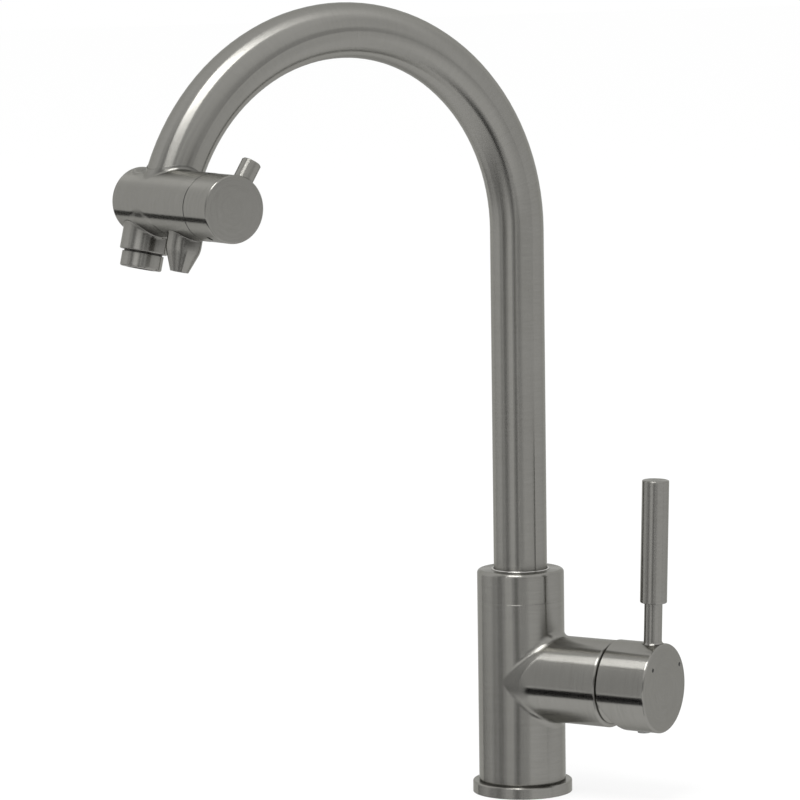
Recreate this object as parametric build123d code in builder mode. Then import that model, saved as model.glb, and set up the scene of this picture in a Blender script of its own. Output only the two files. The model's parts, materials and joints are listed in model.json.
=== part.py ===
"""Kitchen mixer tap with a swivelling arch spout and a second outlet for filtered water.

Millimetres. The origin is the centre of the deck hole in the plane of the worktop, +Z is up.
The spout reaches out along -Y. The branch with the mixing lever leaves the column to the right,
and the head lies across the end of the spout, with its filtered-water knob towards +X.
"""
from build123d import *
from math import cos, radians, sin, sqrt
import os

os.makedirs("parts", exist_ok=True)

# Clearances
seat_gap = 0.05       # radial gap between pieces that are pushed or screwed together
running_gap = 0.1     # radial gap of a shaft or ring that turns
free_gap = 0.3        # gap between pieces that move past each other

# Column, flange and base
column_r = 22.8
collar_seam_z = 102.0
collar_h = 16.0
collar_edge = 2.0
flange_h = 6.0
flange_lip = 3.3      # how far the flange stands out past the column
flange_edge = 0.8
groove_h = 0.7        # shadow groove above the flange
groove_depth = 0.8
foot_step = 2.5       # the foot inside the flange is this much slimmer than the column
foot_z = 1.5          # underside of the body above the deck
gasket_t = 1.5
gasket_inset = 1.3    # from the edge of the flange to the gasket
gasket_land = 0.7     # from the hole of the flange to the gasket

# Branch
branch_turn = 24.8    # degrees from +X, seen from above
branch_z = 61.2
branch_r = 22.7
branch_end = 56.0     # from the axis of the column
branch_edge = 1.5
branch_blend = 4.0
branch_land = 0.5     # from the blend to the joint of the branch sleeve

# Spout tube
tube_r = 14.0
tube_wall = 1.2
arch_start_z = 295.8
arch_r = 106.2
arch_sweep = 159.0    # degrees
head_drop = 14.6      # from the end of the arch to the axis of the head

# Spout bush, glide ring and collar ring
bush_wall = 3.2
bush_lip = 1.4
bush_lip_t = 3.0
bush_ledge = 2.0
neck_step = 2.8       # the threaded neck under the collar is this much slimmer than the column
neck_h = 10.5
lip_depth = 6.0       # from the top of the neck down to the shelf of the bush's lip
ring_wall = 1.0
ring_h = 2.8
ring_proud = 0.4
oring_r = 0.9         # half the thickness of an O-ring
oring_z = (5.0, 14.0)  # heights of the two O-rings above the foot of the bush

# Water ways in the column
socket_web = 3.3      # metal between the cartridge bore and the spout socket
chamber_r = 7.5
chamber_floor_z = 46.0
inlet_angle = 58.0    # degrees each side of the branch, seen from above
inlet_thread_r = 4.5  # M10x1 hose thread, core
inlet_thread_l = 12.0
inlet_way_r = 3.2
stud_hole_r = 3.4     # M8 stud thread, core
stud_hole_l = 14.0

# Filtered-water hose, its nipple and its inlet socket
hose_r = 4.0
hose_wall = 1.3
hose_room = 0.4       # radial room of the hose in the body
filter_socket_r = 3.2  # takes a quarter-inch tube
filter_socket_l = 8.0
nipple_foot_t = 2.0
barb_l = 12.0
barb_wall = 1.0
hose_seal_z = 40.0

# Mixing cartridge, 35 mm size, measured from its seat along the branch
cartridge_r = 17.4
seat_web = 2.7        # metal between the spout socket and the cartridge seat
cartridge_l = 27.0
base_t = 4.0
base_port_x = 9.5
base_port_y = -4.0
base_port_r = 3.0
outlet_port_y = 8.0
outlet_port_r = 3.5
port_seal_r = 0.8     # half the thickness of a port seal
housing_wall = 2.1
housing_roof = 3.0
housing_neck_r = 13.0
housing_neck_l = 6.0
fixed_disc_t = 3.5
moving_disc_r = 11.0
moving_disc_t = 3.5
disc_rest_y = -1.2    # the sliding disc rests this far below the axis
disc_pocket_t = 2.0
carrier_t = 4.5
carrier_key_h = 3.8    # along the slot of the rotor
carrier_key_t = 1.5
carrier_key_y = -6.7
pivot_l = 22.0        # pivot of the lever above the seat
rotor_flange_t = 8.0
rotor_neck_r = 11.2
rotor_neck_over = 1.0  # the rotor stands this far out of the housing
stem_pin_r = 1.5
stem_pin_l = 22.0

# Stem of the cartridge
stem_side = 8.0
stem_below = 3.0      # square part below the pivot
stem_rod_r = 1.9
stem_ball_r = 2.6
stem_ball_l = 8.0     # centre of the ball below the pivot
tilt = 20.0           # travel of the lever in degrees

# Nut and dome
nut_t = 4.5
nut_thread = 1.8      # the nut is this much larger in radius than the cartridge
nut_run_out = 1.0     # the thread in the branch goes on this far below the nut
nut_slot_w = 3.0
nut_slots = 4
dome_inset = 1.9      # from the round of the branch to the foot of the dome
dome_t = 1.5
dome_skirt_t = 1.5
dome_hole_r = 13.5
skirt_gap = 0.5

# Lever hub
hub_r = 23.25
hub_gap = 1.5
hub_l = 27.4
hub_wall = 1.55
hub_edge = 1.3
relief_drop = 6.0     # the relief cut starts this far below the axis
relief_angle = 27.0
lever_inset = 7.2     # axis of the lever behind the face of the hub
lever_lean = 1.6      # degrees, the lever leans this much away from the column
grub_inset = 12.0     # axis of the grub screw behind the face of the hub
socket_end_gap = 0.3

# Lever pin and grip
pin_r = 4.7
pin_stud_r = 2.9
pin_stud_l = 12.0
pin_seat = 3.0        # depth of the pin's seat in the hub
pin_foot_r = 1.5      # hollow of the flare round the pin where it stands on the hub
grip_r = 7.0
grip_low_z = 105.6
grip_top_z = 169.3
grip_bore_l = 24.0
grip_edge = 0.6

# Grub screw, plug and index dots
grub_r = 2.1
grub_l = 6.0
grub_key = 2.5
plug_r = 3.35
plug_t = 4.0
plug_proud = 0.7
dot_r = 1.05
dot_t = 0.5
dot_sunk = 0.05
left_dot_inset = 6.7  # from the rim of the hub to the dot
left_dot_turn = 47.0  # degrees from the top of the hub
right_dot_inset = 3.7
right_dot_turn = 59.0

# Head, measured along its axis from the plane of the spout
head_r = 16.7
head_left = -25.2
head_seam = 44.0
head_left_edge = 2.0
lip_wall = 0.3        # thin lip of the head round the tube
lip_h = 2.3           # lip past the round of the head
lip_blend = 2.0
tube_seat = 7.5       # the tube ends this far from the axis of the head
head_chamber_r = 11.0
head_chamber_end = 1.5
hose_seat = 4.0       # the hose ends this far past the axis of the head
hose_well = 8.4
cross_way_r = 2.0
cross_way_off = 6.2
nozzle_lean = 13.0    # degrees from straight down, away from the column

# Main outlet and aerator, measured from the axis of the head
outlet_s = -13.2
outlet_r = 11.9
outlet_l = 25.4
outlet_edge = 0.7
outlet_blend = 2.0
outlet_bore_r = 8.0
outlet_bore_top = -8.0
aerator_r = 10.4
aerator_neck_r = 9.6
aerator_neck_l = 6.5
aerator_groove = 0.9
aerator_l = 33.8
aerator_wall = 1.6
aerator_edge = 1.0
aerator_lip = 1.2
insert_hole_r = 0.85
insert_hole_pitch = 2.3
insert_rows = 5
aerator_seal_t = 1.5

# Filtered-water nozzle
nozzle_s = 24.0
nozzle_r = 8.7
nozzle_cone_at = 22.0
nozzle_l = 33.0
nozzle_tip_r = 4.5
nozzle_round = 12.0   # rounds the start of the cone
nozzle_blend = 1.0
nozzle_bore_r = 3.3
nozzle_insert_l = 7.0
nozzle_insert_inset = 1.2
nozzle_hole_r = 0.55
nozzle_hole_ring = 1.9
nozzle_holes = 6      # round one in the middle

# Quarter-turn valve in the head
valve_r = 8.9
valve_floor = 15.2
valve_seal_t = 2.0
valve_disc_r = 6.9
valve_fixed_t = 2.0
valve_moving_t = 1.8
valve_port_r = 2.5
valve_lip_r = 12.0
valve_lip_t = 3.0
valve_lip_sunk = 1.0  # lip below the end face of the head
valve_neck_r = 6.5
valve_neck_l = 7.0
valve_room_l = 12.8
spindle_r = 4.0
spindle_foot_t = 2.1
spindle_blade = (2.0, 11.0)
spindle_blade_in = 1.0
spindle_square = 5.6
spindle_square_l = 7.0
spindle_neck_over = 2.0
disc_hole_r = 1.6
disc_hole_off = 3.9

# Filtered-water knob
knob_r = 16.6
knob_gap = 0.4
knob_l = 20.1
knob_edge = 0.8
knob_room_r = 13.5
knob_room_l = 8.6
peg_inset = 5.6       # axis of the peg behind the face of the knob
peg_r = 4.9
peg_reach = 26.0
peg_turn = 32.0       # degrees from straight up, towards the column
peg_edge = 0.5
peg_stud_r = 2.4
peg_stud_l = 6.0
knob_grub_inset = 8.5
knob_grub_r = 1.65
knob_grub_l = 5.0
knob_grub_key = 2.0

# Radii that follow
foot_r = column_r - foot_step
flange_r = column_r + flange_lip
neck_r = column_r - neck_step
bush_r = tube_r + bush_wall
socket_r = bush_r + running_gap
cartridge_bore_r = cartridge_r + running_gap
nut_r = cartridge_r + nut_thread
nut_bore_r = nut_r + seat_gap
rotor_flange_r = cartridge_r - housing_wall - running_gap
hub_bore_r = hub_r - hub_wall
tube_bore_r = tube_r - tube_wall
hose_bore_r = hose_r - hose_wall
barb_r = hose_bore_r - running_gap

# Heights that follow in the column
socket_floor_z = branch_z + cartridge_bore_r + socket_web
bush_foot_z = socket_floor_z + free_gap
tube_foot_z = bush_foot_z + bush_ledge
neck_top_z = collar_seam_z + neck_h
shelf_z = neck_top_z - lip_depth
collar_roof_z = neck_top_z + free_gap
collar_top_z = collar_seam_z + collar_h
ring_z = collar_top_z + ring_proud - ring_h
socket_top_z = foot_z + filter_socket_l
nipple_step_z = socket_top_z + nipple_foot_t
hose_foot_z = nipple_step_z + free_gap

# Stations that follow along the branch
branch_joint_s = column_r + branch_blend + branch_land
seat_s = socket_r + seat_web
base_top_s = seat_s + base_t
fixed_top_s = base_top_s + fixed_disc_t
moving_top_s = fixed_top_s + moving_disc_t
carrier_top_s = moving_top_s + carrier_t
rotor_low_s = carrier_top_s + free_gap
rotor_step_s = rotor_low_s + rotor_flange_t
pivot_s = seat_s + pivot_l
shoulder_s = seat_s + cartridge_l
housing_top_s = shoulder_s + housing_neck_l
nut_top_s = shoulder_s + nut_t
dome_foot_r = branch_r - dome_inset
dome_r = sqrt(dome_foot_r ** 2 + (branch_end - pivot_s) ** 2)
hub_rear = branch_end + hub_gap
hub_face = hub_rear + hub_l
hub_floor = pivot_s + dome_r + free_gap
lever_s = hub_face - lever_inset
grub_s = hub_face - grub_inset
stem_end = grub_s + grub_r + seat_gap

# Stations that follow along the head
valve_seat = valve_floor + valve_seal_t
valve_fixed_top = valve_seat + valve_fixed_t
valve_moving_top = valve_fixed_top + valve_moving_t
valve_roof = valve_seat + valve_room_l
valve_lip_top = head_seam - valve_lip_sunk
valve_neck_top = valve_lip_top + valve_neck_l
spindle_top = valve_neck_top + spindle_neck_over + spindle_square_l
knob_low = head_seam + knob_gap
knob_face = knob_low + knob_l
knob_room_top = knob_low + knob_room_l
peg_s = knob_face - peg_inset
knob_grub_s = knob_face - knob_grub_inset

# Planes of the branch: one across it, one through its axis with X as the radius and Y outwards
branch_dir = Vector(cos(radians(branch_turn)), sin(radians(branch_turn)), 0)
branch_side = Vector(-sin(radians(branch_turn)), cos(radians(branch_turn)), 0)
branch_start = Vector(0, 0, branch_z)
branch_plane = Plane(origin=branch_start, x_dir=branch_side, z_dir=branch_dir)
branch_half = Plane(origin=branch_start, x_dir=(0, 0, 1), z_dir=branch_side)
branch_axis = Axis(branch_start, branch_dir)
pivot_plane = Plane(origin=branch_start + branch_dir * pivot_s, x_dir=(0, 0, 1), z_dir=branch_side)
lever_dir = Vector(0, 0, cos(radians(lever_lean))) + branch_dir * sin(radians(lever_lean))
lever_plane = Plane(origin=branch_start + branch_dir * lever_s, x_dir=branch_side, z_dir=lever_dir)
grub_plane = Plane(origin=branch_start + branch_dir * grub_s, x_dir=branch_side, z_dir=(0, 0, -1))

# Centre line of the spout, and the planes of the head
end_lean = radians(180 - arch_sweep)
end_dir = Vector(0, -sin(end_lean), -cos(end_lean))
arch_end = Vector(0, -arch_r * (1 + cos(end_lean)), arch_start_z + arch_r * sin(end_lean))
head_centre = arch_end + end_dir * head_drop
head_plane = Plane(origin=head_centre, x_dir=(0, 1, 0), z_dir=(1, 0, 0))
head_half = Plane(origin=head_centre, x_dir=(0, 0, 1), z_dir=(0, 1, 0))
head_axis = Axis(head_centre, (1, 0, 0))
tube_end_plane = Plane(origin=head_centre, x_dir=(1, 0, 0), z_dir=end_dir)
nozzle_dir = Vector(0, -sin(radians(nozzle_lean)), -cos(radians(nozzle_lean)))
nozzle_side = Vector(0, -cos(radians(nozzle_lean)), sin(radians(nozzle_lean)))
outlet_start = head_centre + Vector(outlet_s, 0, 0)
nozzle_start = head_centre + Vector(nozzle_s, 0, 0)
outlet_plane = Plane(origin=outlet_start, x_dir=(1, 0, 0), z_dir=nozzle_dir)
outlet_half = Plane(origin=outlet_start, x_dir=(1, 0, 0), z_dir=nozzle_side * -1)
outlet_axis = Axis(outlet_start, nozzle_dir)
nozzle_plane = Plane(origin=nozzle_start, x_dir=(1, 0, 0), z_dir=nozzle_dir)
nozzle_half = Plane(origin=nozzle_start, x_dir=(1, 0, 0), z_dir=nozzle_side * -1)
nozzle_axis = Axis(nozzle_start, nozzle_dir)
peg_dir = Vector(0, sin(radians(peg_turn)), cos(radians(peg_turn)))
knob_plane = Plane(origin=head_centre, x_dir=peg_dir, z_dir=(1, 0, 0))
peg_plane = Plane(origin=head_centre + Vector(peg_s, 0, 0), x_dir=(1, 0, 0), z_dir=peg_dir)
knob_grub_plane = Plane(origin=head_centre + Vector(knob_grub_s, 0, 0), x_dir=(1, 0, 0), z_dir=peg_dir * -1)


def spout_route(start_z, past_end):
    """Centre line from start_z up the column and over the arch, then past_end beyond its end."""
    with BuildLine(Plane.YZ) as route:
        rise = Line((0, start_z), (0, arch_start_z))
        arch = JernArc(start=rise @ 1, tangent=rise % 1, radius=arch_r, arc_size=arch_sweep)
        Line(arch @ 1, arch @ 1 + (arch % 1) * past_end)
    return route.line


def save(piece, name):
    """Label the finished solid and write it under its own name."""
    piece.part.label = name
    export_step(piece.part, f"parts/{name}.step")
    print(name, len(piece.part.solids()), round(piece.part.volume))


# Body: foot, column, threaded neck and root of the branch, then its bores and water ways
inlet_ring_r = (hose_r + hose_room + foot_r) / 2
inlet_place = [(inlet_ring_r, branch_turn + side * inlet_angle) for side in (-1, 1)]
inlet_s = inlet_ring_r * cos(radians(inlet_angle))
inlet_ports = [(-base_port_x, base_port_y), (base_port_x, base_port_y)]
with BuildPart() as tap_body:
    with BuildSketch(Plane.XY.offset(flange_h + groove_h)):
        Circle(column_r)
    extrude(amount=collar_seam_z - flange_h - groove_h)
    with BuildSketch(branch_plane):
        Circle(branch_r)
    extrude(amount=branch_joint_s)
    crossing = [edge for edge in tap_body.edges() if edge.geom_type not in (GeomType.CIRCLE, GeomType.LINE)]
    fillet(crossing, radius=branch_blend)
    with BuildSketch(Plane.XY.offset(flange_h)):
        Circle(column_r - groove_depth)
    extrude(amount=groove_h)
    with BuildSketch(Plane.XY.offset(foot_z)):
        Circle(foot_r)
    extrude(amount=flange_h - foot_z)
    with BuildSketch(Plane.XY.offset(collar_seam_z)):
        Circle(neck_r)
    extrude(amount=neck_h)
    with BuildSketch(Plane.XY.offset(socket_floor_z)):
        Circle(socket_r)
    extrude(amount=neck_top_z - socket_floor_z, mode=Mode.SUBTRACT)
    with BuildSketch(Plane.XY.offset(shelf_z)):
        Circle(bush_r + bush_lip + running_gap)
    extrude(amount=lip_depth, mode=Mode.SUBTRACT)
    with BuildSketch(Plane.XY.offset(chamber_floor_z)):
        Circle(chamber_r)
    extrude(amount=socket_floor_z - chamber_floor_z, mode=Mode.SUBTRACT)
    with BuildSketch(Plane.XY.offset(socket_top_z)):
        Circle(hose_r + hose_room)
    extrude(amount=chamber_floor_z - socket_top_z, mode=Mode.SUBTRACT)
    with BuildSketch(Plane.XY.offset(foot_z)):
        Circle(filter_socket_r)
    extrude(amount=filter_socket_l, mode=Mode.SUBTRACT)
    with BuildSketch(Plane.XY.offset(hose_seal_z - oring_r - seat_gap)):
        Circle(hose_r + running_gap + 2 * oring_r + seat_gap)
    extrude(amount=2 * (oring_r + seat_gap), mode=Mode.SUBTRACT)
    with BuildSketch(Plane.XY.offset(foot_z)):
        with Locations(*[Vector(r, 0).rotate(Axis.Z, a) for r, a in inlet_place]):
            Circle(inlet_thread_r)
    extrude(amount=inlet_thread_l, mode=Mode.SUBTRACT)
    with BuildSketch(Plane.XY.offset(foot_z)):
        with Locations(*[Vector(r, 0).rotate(Axis.Z, a) for r, a in inlet_place]):
            Circle(inlet_way_r)
    extrude(amount=branch_z + base_port_y + base_port_r - foot_z, mode=Mode.SUBTRACT)
    with BuildSketch(Plane.XY.offset(foot_z)):
        with Locations(Vector(inlet_ring_r, 0).rotate(Axis.Z, branch_turn + 180)):
            Circle(stud_hole_r)
    extrude(amount=stud_hole_l, mode=Mode.SUBTRACT)
    with BuildSketch(branch_plane.offset(seat_s)):
        Circle(cartridge_bore_r)
    extrude(amount=branch_joint_s - seat_s, mode=Mode.SUBTRACT)
    with BuildSketch(branch_plane.offset(inlet_s)):
        with Locations(*inlet_ports):
            Circle(base_port_r)
    extrude(amount=seat_s - inlet_s, mode=Mode.SUBTRACT)
    with BuildSketch(branch_plane):
        with Locations((0, outlet_port_y)):
            Circle(outlet_port_r)
    extrude(amount=seat_s, mode=Mode.SUBTRACT)
save(tap_body, "tap_body")

# Sleeve of the branch, joined to its root in one plane
with BuildPart() as branch_sleeve:
    with BuildSketch(branch_plane.offset(branch_joint_s)):
        Circle(branch_r)
    extrude(amount=branch_end - branch_joint_s)
    rim = branch_sleeve.edges().filter_by(GeomType.CIRCLE).sort_by(branch_axis)[-1]
    fillet(rim, radius=branch_edge)
    with BuildSketch(branch_plane.offset(branch_joint_s)):
        Circle(cartridge_bore_r)
    extrude(amount=branch_end - branch_joint_s, mode=Mode.SUBTRACT)
    with BuildSketch(branch_plane.offset(shoulder_s - nut_run_out)):
        Circle(nut_bore_r)
    extrude(amount=branch_end - shoulder_s + nut_run_out, mode=Mode.SUBTRACT)
save(branch_sleeve, "branch_sleeve")

# Flange with a recess for its gasket
with BuildPart() as base_flange:
    with BuildSketch():
        Circle(flange_r)
        Circle(foot_r + seat_gap, mode=Mode.SUBTRACT)
    extrude(amount=flange_h)
    with BuildSketch():
        Circle(flange_r - gasket_inset)
        Circle(foot_r + gasket_land, mode=Mode.SUBTRACT)
    extrude(amount=gasket_t, mode=Mode.SUBTRACT)
    top_rim = base_flange.edges().group_by(Axis.Z)[-1].sort_by(SortBy.RADIUS)[-1]
    fillet(top_rim, radius=flange_edge)
save(base_flange, "base_flange")

with BuildPart() as base_gasket:
    with BuildSketch():
        Circle(flange_r - gasket_inset - seat_gap)
        Circle(foot_r + gasket_land + seat_gap, mode=Mode.SUBTRACT)
    extrude(amount=gasket_t)
save(base_gasket, "base_gasket")

# Collar screwed on the neck, with the bright ring let into its top
with BuildPart() as top_collar:
    with BuildSketch(Plane.XZ):
        with BuildLine():
            Polyline(
                (neck_r + seat_gap, collar_seam_z),
                (column_r, collar_seam_z),
                (column_r, collar_top_z),
                (tube_r + free_gap + ring_wall + seat_gap, collar_top_z),
                (tube_r + free_gap + ring_wall + seat_gap, ring_z),
                (tube_r + 2 * free_gap, ring_z),
                (tube_r + 2 * free_gap, collar_roof_z),
                (neck_r + seat_gap, collar_roof_z),
                close=True,
            )
        make_face()
    revolve(axis=Axis.Z)
    top_rim = top_collar.edges().group_by(Axis.Z)[-1].sort_by(SortBy.RADIUS)[-1]
    fillet(top_rim, radius=collar_edge)
save(top_collar, "top_collar")

with BuildPart() as collar_ring:
    with BuildSketch(Plane.XY.offset(ring_z)):
        Circle(tube_r + free_gap + ring_wall)
        Circle(tube_r + free_gap, mode=Mode.SUBTRACT)
    extrude(amount=ring_h)
    ring_rims = collar_ring.edges().group_by(Axis.Z)[-1].sort_by(SortBy.RADIUS)
    fillet(ring_rims[-1], radius=ring_proud)
save(collar_ring, "collar_ring")

# Nylon ring between the lip of the bush and the roof of the collar
with BuildPart() as glide_ring:
    with BuildSketch(Plane.XY.offset(shelf_z + bush_lip_t)):
        Circle(bush_r + bush_lip)
        Circle(tube_r + free_gap, mode=Mode.SUBTRACT)
    extrude(amount=collar_roof_z - shelf_z - bush_lip_t)
save(glide_ring, "glide_ring")

# Nipple of the filtered-water inlet, with a barb inside the hose
with BuildPart() as filter_inlet_nipple:
    with BuildSketch(Plane.XZ):
        with BuildLine():
            Polyline(
                (barb_r - barb_wall, socket_top_z),
                (hose_r + hose_room - seat_gap, socket_top_z),
                (hose_r + hose_room - seat_gap, nipple_step_z),
                (barb_r, nipple_step_z),
                (barb_r, nipple_step_z + barb_l),
                (barb_r - barb_wall, nipple_step_z + barb_l),
                close=True,
            )
        make_face()
    revolve(axis=Axis.Z)
save(filter_inlet_nipple, "filter_inlet_nipple")

with BuildPart() as hose_seal:
    with BuildSketch(Plane.XZ):
        with Locations((hose_r + running_gap + oring_r, hose_seal_z)):
            Circle(oring_r)
    revolve(axis=Axis.Z)
save(hose_seal, "hose_seal")

# Spout tube from its foot in the bush over the arch to its seat in the head
with BuildPart() as spout_tube:
    with BuildSketch(Plane.XY.offset(tube_foot_z)):
        Circle(tube_r)
        Circle(tube_bore_r, mode=Mode.SUBTRACT)
    sweep(path=spout_route(tube_foot_z, head_drop - tube_seat))
save(spout_tube, "spout_tube")

# Bush on the foot of the tube, with a ledge, a lip and two O-ring grooves
with BuildPart() as spout_bush:
    with BuildSketch(Plane.XZ):
        with BuildLine():
            Polyline(
                (tube_bore_r, bush_foot_z),
                (bush_r, bush_foot_z),
                (bush_r, shelf_z),
                (bush_r + bush_lip, shelf_z),
                (bush_r + bush_lip, shelf_z + bush_lip_t),
                (tube_r + seat_gap, shelf_z + bush_lip_t),
                (tube_r + seat_gap, tube_foot_z),
                (tube_bore_r, tube_foot_z),
                close=True,
            )
        make_face()
        for height in oring_z:
            with Locations((bush_r, bush_foot_z + height)):
                Rectangle(4 * (oring_r + seat_gap), 2 * (oring_r + seat_gap), mode=Mode.SUBTRACT)
    revolve(axis=Axis.Z)
save(spout_bush, "spout_bush")

with BuildPart() as spout_orings:
    with BuildSketch(Plane.XZ):
        with Locations(*[(bush_r - oring_r, bush_foot_z + height) for height in oring_z]):
            Circle(oring_r)
    revolve(axis=Axis.Z)
save(spout_orings, "spout_orings")

with BuildPart() as filter_hose:
    with BuildSketch(Plane.XY.offset(hose_foot_z)):
        Circle(hose_r)
        Circle(hose_bore_r, mode=Mode.SUBTRACT)
    sweep(path=spout_route(hose_foot_z, head_drop + hose_seat))
save(filter_hose, "filter_hose")


def head_crossings(piece):
    """Curves where another round piece meets the round of the head."""
    found = []
    for edge in piece.edges():
        spot = edge @ 0.5 - head_centre
        on_round = abs(sqrt(spot.Y ** 2 + spot.Z ** 2) - head_r) < seat_gap
        if on_round and edge.geom_type not in (GeomType.CIRCLE, GeomType.LINE):
            found.append(edge)
    return ShapeList(found)


# Head: lip for the tube, cross cylinder, main outlet socket and filtered-water nozzle, then the bores
with BuildPart() as head_body:
    with BuildSketch(tube_end_plane):
        Circle(tube_r + lip_wall)
    extrude(amount=-2 * head_r)
    with BuildSketch(head_plane.offset(head_left)):
        Circle(head_r + lip_h)
    extrude(amount=head_seam - head_left, mode=Mode.INTERSECT)
    with BuildSketch(head_plane.offset(head_left)):
        Circle(head_r)
    extrude(amount=head_seam - head_left)
    left_rim = head_body.edges().filter_by(GeomType.CIRCLE).sort_by(Axis.X)[0]
    fillet(left_rim, radius=head_left_edge)
    fillet(head_crossings(head_body), radius=lip_blend)
    with BuildSketch(outlet_plane):
        Circle(outlet_r)
    extrude(amount=outlet_l)
    below = head_crossings(head_body).filter_by(lambda edge: edge.center().Z < head_centre.Z)
    fillet(below, radius=outlet_blend)
    outlet_rims = head_body.edges().filter_by(GeomType.CIRCLE).sort_by(outlet_axis)
    fillet(outlet_rims[-1], radius=outlet_edge)
    with BuildSketch(nozzle_half):
        with BuildLine():
            Polyline(
                (0, 0),
                (nozzle_r, 0),
                (nozzle_r, nozzle_cone_at),
                (nozzle_tip_r, nozzle_l),
                (0, nozzle_l),
                close=True,
            )
        make_face()
    revolve(axis=nozzle_axis)
    nozzle_side_s = nozzle_s - nozzle_r - nozzle_blend
    nozzle_crossings = head_crossings(head_body).filter_by(lambda edge: edge.center().X > nozzle_side_s)
    fillet(nozzle_crossings, radius=nozzle_blend)
    circles = head_body.edges().filter_by(GeomType.CIRCLE)
    cone_rims = circles.filter_by(lambda rim: abs(rim.radius - nozzle_r) < seat_gap)
    fillet(cone_rims.sort_by(nozzle_axis)[-1], radius=nozzle_round)
    with BuildSketch(tube_end_plane.offset(-tube_seat)):
        Circle(tube_r + seat_gap)
    extrude(amount=-2 * head_r, mode=Mode.SUBTRACT)
    with BuildSketch(tube_end_plane.offset(-tube_seat)):
        Circle(head_chamber_r)
    extrude(amount=tube_seat - head_chamber_end, mode=Mode.SUBTRACT)
    with BuildSketch(tube_end_plane.offset(-head_chamber_end)):
        Circle(hose_r + seat_gap)
    extrude(amount=head_chamber_end + hose_seat, mode=Mode.SUBTRACT)
    with BuildSketch(tube_end_plane.offset(hose_seat)):
        Circle(hose_bore_r)
    extrude(amount=hose_well - hose_seat, mode=Mode.SUBTRACT)
    with BuildSketch(Plane(origin=head_centre + end_dir * cross_way_off, z_dir=(1, 0, 0))):
        Circle(cross_way_r)
    extrude(amount=valve_floor, mode=Mode.SUBTRACT)
    with BuildSketch(outlet_plane.offset(outlet_bore_top)):
        Circle(outlet_bore_r)
    extrude(amount=outlet_l - outlet_bore_top, mode=Mode.SUBTRACT)
    with BuildSketch(outlet_plane.offset(outlet_l - aerator_neck_l)):
        Circle(aerator_neck_r + seat_gap)
    extrude(amount=aerator_neck_l, mode=Mode.SUBTRACT)
    with BuildSketch(head_plane.offset(valve_floor)):
        Circle(valve_r + seat_gap)
    extrude(amount=head_seam - valve_floor, mode=Mode.SUBTRACT)
    with BuildSketch(head_plane.offset(valve_lip_top - valve_lip_t)):
        Circle(valve_lip_r + seat_gap)
    extrude(amount=head_seam - valve_lip_top + valve_lip_t, mode=Mode.SUBTRACT)
    with BuildSketch(nozzle_plane):
        Circle(nozzle_bore_r)
    extrude(amount=nozzle_l, mode=Mode.SUBTRACT)
save(head_body, "head_body")

# Aerator: threaded housing, rubber seal and a plastic insert with straight holes
with BuildPart() as aerator_housing:
    with BuildSketch(outlet_half):
        with BuildLine():
            Polyline(
                (aerator_neck_r - aerator_wall, outlet_l - aerator_neck_l + aerator_seal_t),
                (aerator_neck_r, outlet_l - aerator_neck_l + aerator_seal_t),
                (aerator_neck_r, outlet_l + aerator_groove),
                (aerator_r, outlet_l + aerator_groove),
                (aerator_r, aerator_l),
                (aerator_neck_r - aerator_wall - aerator_lip, aerator_l),
                (aerator_neck_r - aerator_wall - aerator_lip, aerator_l - aerator_lip),
                (aerator_neck_r - aerator_wall, aerator_l - aerator_lip),
                close=True,
            )
        make_face()
    revolve(axis=outlet_axis)
    low_rim = aerator_housing.edges().filter_by(GeomType.CIRCLE).group_by(outlet_axis)[-1]
    fillet(low_rim.sort_by(SortBy.RADIUS)[-1], radius=aerator_edge)
save(aerator_housing, "aerator_housing")

insert_r = aerator_neck_r - aerator_wall - seat_gap
with BuildPart() as aerator_insert:
    with BuildSketch(outlet_plane.offset(outlet_l - aerator_neck_l + aerator_seal_t)):
        Circle(insert_r)
        with HexLocations(insert_hole_pitch / 2, insert_rows, insert_rows, major_radius=False):
            Circle(insert_hole_r, mode=Mode.SUBTRACT)
    extrude(amount=aerator_l - aerator_lip - outlet_l + aerator_neck_l - aerator_seal_t)
save(aerator_insert, "aerator_insert")

with BuildPart() as aerator_seal:
    with BuildSketch(outlet_plane.offset(outlet_l - aerator_neck_l)):
        Circle(aerator_neck_r)
        Circle(outlet_bore_r - aerator_lip, mode=Mode.SUBTRACT)
    extrude(amount=aerator_seal_t)
save(aerator_seal, "aerator_seal")

# Flow insert inside the tip of the filtered-water nozzle
with BuildPart() as nozzle_insert:
    with BuildSketch(nozzle_plane.offset(nozzle_l - nozzle_insert_inset - nozzle_insert_l)):
        Circle(nozzle_bore_r - seat_gap)
        with PolarLocations(nozzle_hole_ring, nozzle_holes):
            Circle(nozzle_hole_r, mode=Mode.SUBTRACT)
        Circle(nozzle_hole_r, mode=Mode.SUBTRACT)
    extrude(amount=nozzle_insert_l)
save(nozzle_insert, "nozzle_insert")

# Quarter-turn valve: seal, brass body, fixed disc, moving disc, spindle and its O-ring
with BuildPart() as valve_seal:
    with BuildSketch(head_plane.offset(valve_floor)):
        Circle(valve_r)
        Circle(valve_disc_r - disc_hole_r, mode=Mode.SUBTRACT)
    extrude(amount=valve_seal_t)
save(valve_seal, "valve_seal")

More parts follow.
